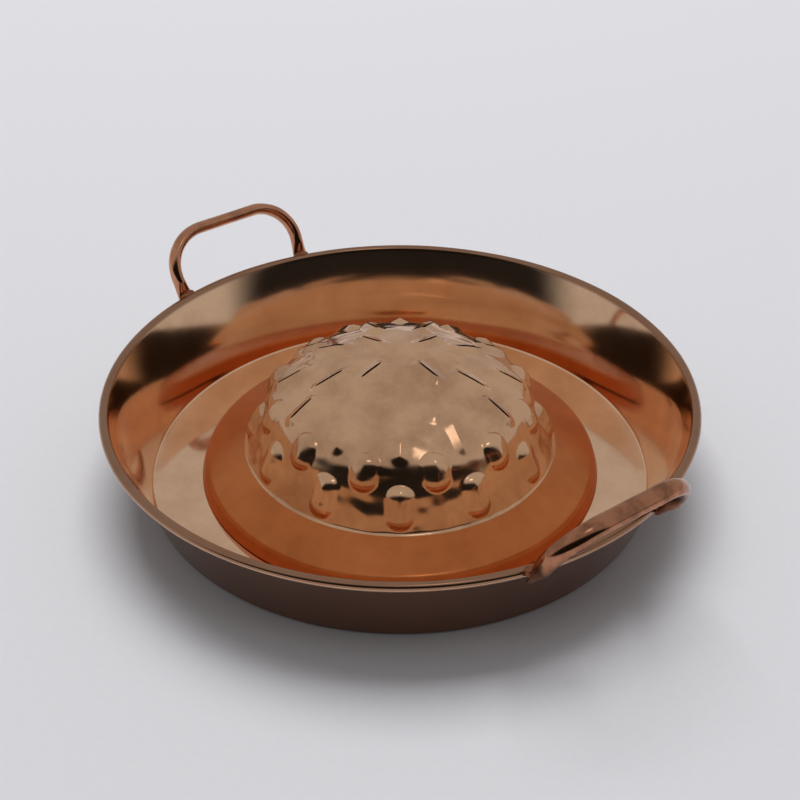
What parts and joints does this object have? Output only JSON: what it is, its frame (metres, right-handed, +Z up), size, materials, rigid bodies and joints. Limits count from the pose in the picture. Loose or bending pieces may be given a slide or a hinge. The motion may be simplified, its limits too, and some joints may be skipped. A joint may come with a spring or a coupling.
{
  "type": "domed_grill_pan",
  "caption": "Copper table-top grill pan with a flared rim, two bent rod handles and a lift-out domed grill plate with pressed slits",
  "frame": {"origin": "centre of the pan's flat base, on the plane that it stands on", "axes": "+X runs through the middles of both handles towards the right handle, +Y runs towards the back, +Z is up"},
  "size_m": [0.3352, 0.3, 0.0782],
  "materials": {
    "pan_copper": "bright drawn copper sheet, lightly brushed",
    "dome_copper": "pressed copper sheet with a fine turned satin",
    "handle_copper": "copper rod with a darker patina",
    "braze_copper": "phosphor-copper braze, wiped and left dull",
    "wire_steel": "drawn steel wire"
  },
  "bodies": {
    "pan": {"pan_body": "pan_copper", "rim_wire": "wire_steel", "left_handle": "handle_copper", "right_handle": "handle_copper", "left_handle_front_braze": "braze_copper", "left_handle_back_braze": "braze_copper", "right_handle_front_braze": "braze_copper", "right_handle_back_braze": "braze_copper"},
    "dome": {"grill_dome": "dome_copper"}
  },
  "joints": [
    {"name": "dome_lift", "type": "slide", "parent": "pan", "child": "dome", "axis": [0, 0, 1], "range_m": [0, 0.09]}
  ]
}
